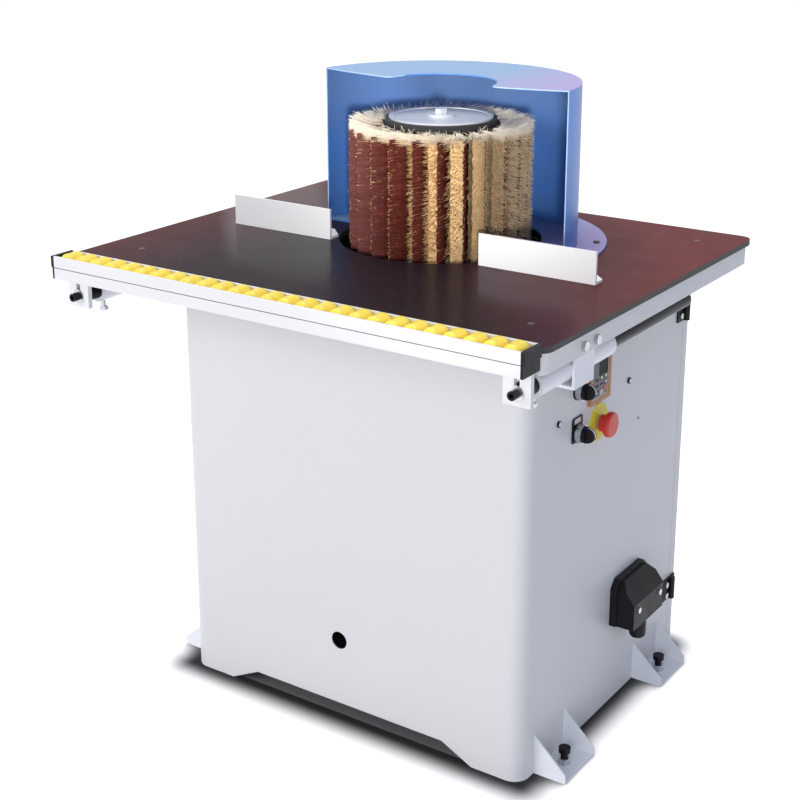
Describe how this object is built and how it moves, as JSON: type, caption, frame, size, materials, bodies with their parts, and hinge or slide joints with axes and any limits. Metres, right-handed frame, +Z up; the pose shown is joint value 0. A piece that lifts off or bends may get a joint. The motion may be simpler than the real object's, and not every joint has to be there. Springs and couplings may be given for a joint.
{
  "type": "brush sanding machine",
  "caption": "Floor-standing brush sander: upright flap brush under a curved hood on a table over a cabinet, with angle fences, a pull-out roller rail and side controls.",
  "frame": {"origin": "on the floor, under the middle of the outline", "axes": "+Z up, +X towards the control side, +Y towards the back, so the roller rail faces -Y"},
  "size_m": [0.85, 0.746, 1.015],
  "materials": {
    "cabinet_paint": "satin powder coat, light grey",
    "bracket_paint": "satin powder coat",
    "white_paint": "satin powder coat, near white",
    "tube_paint": "satin powder coat",
    "hood_paint": "semi-gloss blue powder coat",
    "motor_paint": "painted cast aluminium",
    "table_film": "plywood faced with a glossy dark brown film",
    "black_steel": "black oxide",
    "inner_steel": "machined",
    "disc_steel": "turned and bright",
    "zinc": "zinc plated",
    "cast_iron": "machined casting",
    "core_aluminium": "extruded",
    "rail_aluminium": "extruded, pale anodised",
    "belt_rubber": "matt",
    "ring_rubber": "matt",
    "abrasive_cloth": "abrasive cloth, maroon",
    "bristle_fibre": "plant fibre bristles, straw",
    "wheel_plastic": "moulded, yellow",
    "black_plastic": "moulded, black",
    "switch_plastic": "moulded, grey, black and yellow pieces",
    "keypad_plastic": "moulded, with a film keypad",
    "red_plastic": "moulded, red"
  },
  "bodies": {
    "base": {"cabinet_shell": "cabinet_paint", "foot_brackets": "bracket_paint", "levelling_screws": "black_steel", "zinc_fasteners": "zinc", "table_frame": "cabinet_paint", "table_top": "table_film", "dust_hood": "hood_paint", "fences": "white_paint", "guide_tubes": "tube_paint", "drive_shelf": "inner_steel", "spindle_housing": "cast_iron", "motor_housing": "motor_paint", "drive_belt": "belt_rubber", "speed_inverter": "keypad_plastic", "switch_bezels": "switch_plastic", "inlet_box": "black_plastic", "door_hinges": "black_plastic"},
    "brush": {"spindle": "inner_steel", "brush_core": "core_aluminium", "sanding_flaps": "abrasive_cloth", "bristle_strips": "bristle_fibre", "rubber_ring": "ring_rubber", "clamp_disc": "disc_steel"},
    "motor_rotor": {"motor_shaft": "inner_steel"},
    "door": {"rear_door": "cabinet_paint"},
    "latch": {"door_latch": "black_plastic"},
    "upper_selector": {"upper_selector_knob": "black_plastic"},
    "lower_selector": {"lower_selector_knob": "black_plastic"},
    "stop": {"stop_button": "red_plastic"},
    "rail": {"rail_profile": "rail_aluminium", "rail_end_caps": "black_plastic", "rail_end_plates": "white_paint", "support_rods": "black_steel"},
    "wheel_01": {"rail_wheel_01": "wheel_plastic"},
    "wheel_02": {"rail_wheel_02": "wheel_plastic"},
    "wheel_03": {"rail_wheel_03": "wheel_plastic"},
    "wheel_04": {"rail_wheel_04": "wheel_plastic"},
    "wheel_05": {"rail_wheel_05": "wheel_plastic"},
    "wheel_06": {"rail_wheel_06": "wheel_plastic"},
    "wheel_07": {"rail_wheel_07": "wheel_plastic"},
    "wheel_08": {"rail_wheel_08": "wheel_plastic"},
    "wheel_09": {"rail_wheel_09": "wheel_plastic"},
    "wheel_10": {"rail_wheel_10": "wheel_plastic"},
    "wheel_11": {"rail_wheel_11": "wheel_plastic"},
    "wheel_12": {"rail_wheel_12": "wheel_plastic"},
    "wheel_13": {"rail_wheel_13": "wheel_plastic"},
    "wheel_14": {"rail_wheel_14": "wheel_plastic"},
    "wheel_15": {"rail_wheel_15": "wheel_plastic"},
    "wheel_16": {"rail_wheel_16": "wheel_plastic"},
    "wheel_17": {"rail_wheel_17": "wheel_plastic"},
    "wheel_18": {"rail_wheel_18": "wheel_plastic"},
    "wheel_19": {"rail_wheel_19": "wheel_plastic"},
    "wheel_20": {"rail_wheel_20": "wheel_plastic"},
    "wheel_21": {"rail_wheel_21": "wheel_plastic"},
    "wheel_22": {"rail_wheel_22": "wheel_plastic"},
    "wheel_23": {"rail_wheel_23": "wheel_plastic"},
    "wheel_24": {"rail_wheel_24": "wheel_plastic"},
    "wheel_25": {"rail_wheel_25": "wheel_plastic"},
    "wheel_26": {"rail_wheel_26": "wheel_plastic"},
    "wheel_27": {"rail_wheel_27": "wheel_plastic"}
  },
  "joints": [
    {"name": "brush_spin", "type": "hinge", "parent": "base", "child": "brush", "pos_m": [0, 0.085, 0.6], "axis": [0, 0, 1], "continuous": true},
    {"name": "motor_spin", "type": "hinge", "parent": "base", "child": "motor_rotor", "pos_m": [-0.195, 0.085, 0.4], "axis": [0, 0, 1], "continuous": true},
    {"name": "rail_slide", "type": "slide", "parent": "base", "child": "rail", "axis": [0, -1, 0], "range_m": [0, 0.3]},
    {"name": "rear_door", "type": "hinge", "parent": "base", "child": "door", "pos_m": [0.3338, 0.3285, 0.36], "axis": [0, 0, -1], "range_deg": [0, 110]},
    {"name": "door_latch", "type": "hinge", "parent": "door", "child": "latch", "pos_m": [-0.296, 0.328, 0.36], "axis": [0, 1, 0], "range_deg": [0, 90]},
    {"name": "upper_selector_turn", "type": "hinge", "parent": "base", "child": "upper_selector", "pos_m": [0.34, -0.045, 0.596], "axis": [1, 0, 0], "range_deg": [-45, 45]},
    {"name": "lower_selector_turn", "type": "hinge", "parent": "base", "child": "lower_selector", "pos_m": [0.34, -0.045, 0.528], "axis": [1, 0, 0], "range_deg": [-45, 45]},
    {"name": "stop_press", "type": "slide", "parent": "base", "child": "stop", "axis": [-1, 0, 0], "range_m": [0, 0.005], "stiffness_N_per_m": 600},
    {"name": "wheel_01_spin", "type": "hinge", "parent": "rail", "child": "wheel_01", "pos_m": [-0.39578, -0.351, 0.75128], "axis": [0, 1, 0], "continuous": true},
    {"name": "wheel_02_spin", "type": "hinge", "parent": "rail", "child": "wheel_02", "pos_m": [-0.36533, -0.351, 0.75128], "axis": [0, 1, 0], "continuous": true},
    {"name": "wheel_03_spin", "type": "hinge", "parent": "rail", "child": "wheel_03", "pos_m": [-0.33489, -0.351, 0.75128], "axis": [0, 1, 0], "continuous": true},
    {"name": "wheel_04_spin", "type": "hinge", "parent": "rail", "child": "wheel_04", "pos_m": [-0.30444, -0.351, 0.75128], "axis": [0, 1, 0], "continuous": true},
    {"name": "wheel_05_spin", "type": "hinge", "parent": "rail", "child": "wheel_05", "pos_m": [-0.274, -0.351, 0.75128], "axis": [0, 1, 0], "continuous": true},
    {"name": "wheel_06_spin", "type": "hinge", "parent": "rail", "child": "wheel_06", "pos_m": [-0.24356, -0.351, 0.75128], "axis": [0, 1, 0], "continuous": true},
    {"name": "wheel_07_spin", "type": "hinge", "parent": "rail", "child": "wheel_07", "pos_m": [-0.21311, -0.351, 0.75128], "axis": [0, 1, 0], "continuous": true},
    {"name": "wheel_08_spin", "type": "hinge", "parent": "rail", "child": "wheel_08", "pos_m": [-0.18267, -0.351, 0.75128], "axis": [0, 1, 0], "continuous": true},
    {"name": "wheel_09_spin", "type": "hinge", "parent": "rail", "child": "wheel_09", "pos_m": [-0.15222, -0.351, 0.75128], "axis": [0, 1, 0], "continuous": true},
    {"name": "wheel_10_spin", "type": "hinge", "parent": "rail", "child": "wheel_10", "pos_m": [-0.12178, -0.351, 0.75128], "axis": [0, 1, 0], "continuous": true},
    {"name": "wheel_11_spin", "type": "hinge", "parent": "rail", "child": "wheel_11", "pos_m": [-0.09133, -0.351, 0.75128], "axis": [0, 1, 0], "continuous": true},
    {"name": "wheel_12_spin", "type": "hinge", "parent": "rail", "child": "wheel_12", "pos_m": [-0.06089, -0.351, 0.75128], "axis": [0, 1, 0], "continuous": true},
    {"name": "wheel_13_spin", "type": "hinge", "parent": "rail", "child": "wheel_13", "pos_m": [-0.03044, -0.351, 0.75128], "axis": [0, 1, 0], "continuous": true},
    {"name": "wheel_14_spin", "type": "hinge", "parent": "rail", "child": "wheel_14", "pos_m": [0, -0.351, 0.75128], "axis": [0, 1, 0], "continuous": true},
    {"name": "wheel_15_spin", "type": "hinge", "parent": "rail", "child": "wheel_15", "pos_m": [0.03044, -0.351, 0.75128], "axis": [0, 1, 0], "continuous": true},
    {"name": "wheel_16_spin", "type": "hinge", "parent": "rail", "child": "wheel_16", "pos_m": [0.06089, -0.351, 0.75128], "axis": [0, 1, 0], "continuous": true},
    {"name": "wheel_17_spin", "type": "hinge", "parent": "rail", "child": "wheel_17", "pos_m": [0.09133, -0.351, 0.75128], "axis": [0, 1, 0], "continuous": true},
    {"name": "wheel_18_spin", "type": "hinge", "parent": "rail", "child": "wheel_18", "pos_m": [0.12178, -0.351, 0.75128], "axis": [0, 1, 0], "continuous": true},
    {"name": "wheel_19_spin", "type": "hinge", "parent": "rail", "child": "wheel_19", "pos_m": [0.15222, -0.351, 0.75128], "axis": [0, 1, 0], "continuous": true},
    {"name": "wheel_20_spin", "type": "hinge", "parent": "rail", "child": "wheel_20", "pos_m": [0.18267, -0.351, 0.75128], "axis": [0, 1, 0], "continuous": true},
    {"name": "wheel_21_spin", "type": "hinge", "parent": "rail", "child": "wheel_21", "pos_m": [0.21311, -0.351, 0.75128], "axis": [0, 1, 0], "continuous": true},
    {"name": "wheel_22_spin", "type": "hinge", "parent": "rail", "child": "wheel_22", "pos_m": [0.24356, -0.351, 0.75128], "axis": [0, 1, 0], "continuous": true},
    {"name": "wheel_23_spin", "type": "hinge", "parent": "rail", "child": "wheel_23", "pos_m": [0.274, -0.351, 0.75128], "axis": [0, 1, 0], "continuous": true},
    {"name": "wheel_24_spin", "type": "hinge", "parent": "rail", "child": "wheel_24", "pos_m": [0.30444, -0.351, 0.75128], "axis": [0, 1, 0], "continuous": true},
    {"name": "wheel_25_spin", "type": "hinge", "parent": "rail", "child": "wheel_25", "pos_m": [0.33489, -0.351, 0.75128], "axis": [0, 1, 0], "continuous": true},
    {"name": "wheel_26_spin", "type": "hinge", "parent": "rail", "child": "wheel_26", "pos_m": [0.36533, -0.351, 0.75128], "axis": [0, 1, 0], "continuous": true},
    {"name": "wheel_27_spin", "type": "hinge", "parent": "rail", "child": "wheel_27", "pos_m": [0.39578, -0.351, 0.75128], "axis": [0, 1, 0], "continuous": true}
  ],
  "couplings": [
    {"joint": "motor_spin", "follows": "brush_spin", "ratio": 1.5}
  ]
}
